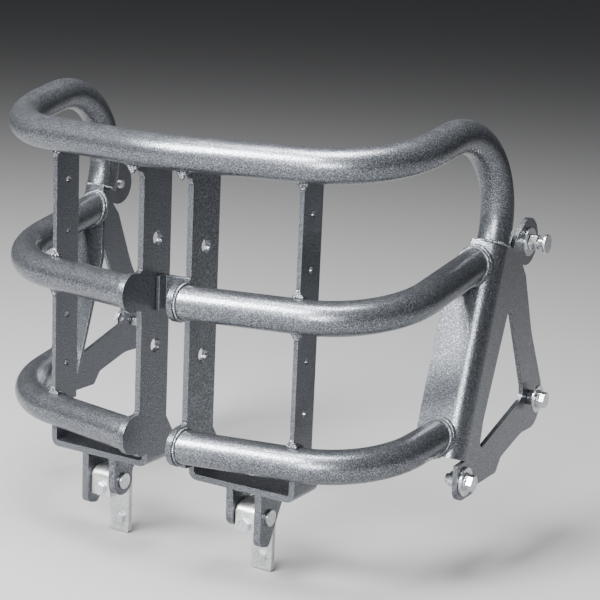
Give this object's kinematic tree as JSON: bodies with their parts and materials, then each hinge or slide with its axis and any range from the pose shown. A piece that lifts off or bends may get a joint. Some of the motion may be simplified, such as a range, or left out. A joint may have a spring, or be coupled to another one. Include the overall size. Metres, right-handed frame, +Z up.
{
  "type": "front grille guard",
  "caption": "Tubular front grille guard with drilled uprights, folded side brackets and two lower tilt hinges.",
  "frame": {"origin": "on the middle plane, between the two straps' rear faces, level with the hinge pins", "axes": "+Z up, -Y the way the guard faces, +X to the right seen from the front; the guard is symmetric across X = 0 except for its pins and link tab"},
  "size_m": [0.7156, 0.462, 0.5803],
  "materials": {
    "hammered_silver_paint": "hammertone metallic paint",
    "zinc_fasteners": "bright zinc plate",
    "galvanised_steel": "galvanised, dull",
    "black_spring_steel": "black phosphate"
  },
  "bodies": {
    "hinge_mounts": {"hinge_block_left": "galvanised_steel", "hinge_strap_left": "galvanised_steel", "block_bolt_left": "zinc_fasteners", "strap_bolt_left": "zinc_fasteners", "hinge_pin_left": "zinc_fasteners", "pin_ring_left": "black_spring_steel", "hinge_block_right": "galvanised_steel", "hinge_strap_right": "galvanised_steel", "block_bolt_right": "zinc_fasteners", "strap_bolt_right": "zinc_fasteners", "hinge_pin_right": "zinc_fasteners", "pin_ring_right": "black_spring_steel"},
    "guard": {"top_hoop_tube": "hammered_silver_paint", "centre_link_plate": "hammered_silver_paint", "middle_tube_left": "hammered_silver_paint", "lower_tube_left": "hammered_silver_paint", "centre_upright_left": "hammered_silver_paint", "upper_outer_bar_left": "hammered_silver_paint", "lower_outer_bar_left": "hammered_silver_paint", "inner_hinge_lug_left": "hammered_silver_paint", "outer_hinge_lug_left": "hammered_silver_paint", "side_bracket_left": "hammered_silver_paint", "upper_washer_left": "zinc_fasteners", "upper_nut_left": "zinc_fasteners", "upper_bolt_left": "zinc_fasteners", "middle_boss_left": "hammered_silver_paint", "middle_big_washer_left": "zinc_fasteners", "middle_small_washer_left": "zinc_fasteners", "middle_bolt_left": "zinc_fasteners", "lower_spacer_left": "zinc_fasteners", "lower_big_washer_left": "zinc_fasteners", "lower_small_washer_left": "zinc_fasteners", "lower_bolt_left": "zinc_fasteners", "middle_tube_right": "hammered_silver_paint", "lower_tube_right": "hammered_silver_paint", "centre_upright_right": "hammered_silver_paint", "upper_outer_bar_right": "hammered_silver_paint", "lower_outer_bar_right": "hammered_silver_paint", "inner_hinge_lug_right": "hammered_silver_paint", "outer_hinge_lug_right": "hammered_silver_paint", "side_bracket_right": "hammered_silver_paint", "upper_washer_right": "zinc_fasteners", "upper_nut_right": "zinc_fasteners", "upper_bolt_right": "zinc_fasteners", "middle_boss_right": "hammered_silver_paint", "middle_big_washer_right": "zinc_fasteners", "middle_small_washer_right": "zinc_fasteners", "middle_bolt_right": "zinc_fasteners", "lower_spacer_right": "zinc_fasteners", "lower_big_washer_right": "zinc_fasteners", "lower_small_washer_right": "zinc_fasteners", "lower_bolt_right": "zinc_fasteners"}
  },
  "joints": [
    {"name": "guard_tilt", "type": "hinge", "parent": "hinge_mounts", "child": "guard", "pos_m": [0, -0.0353, 0], "axis": [1, 0, 0], "range_deg": [0, 80]}
  ]
}
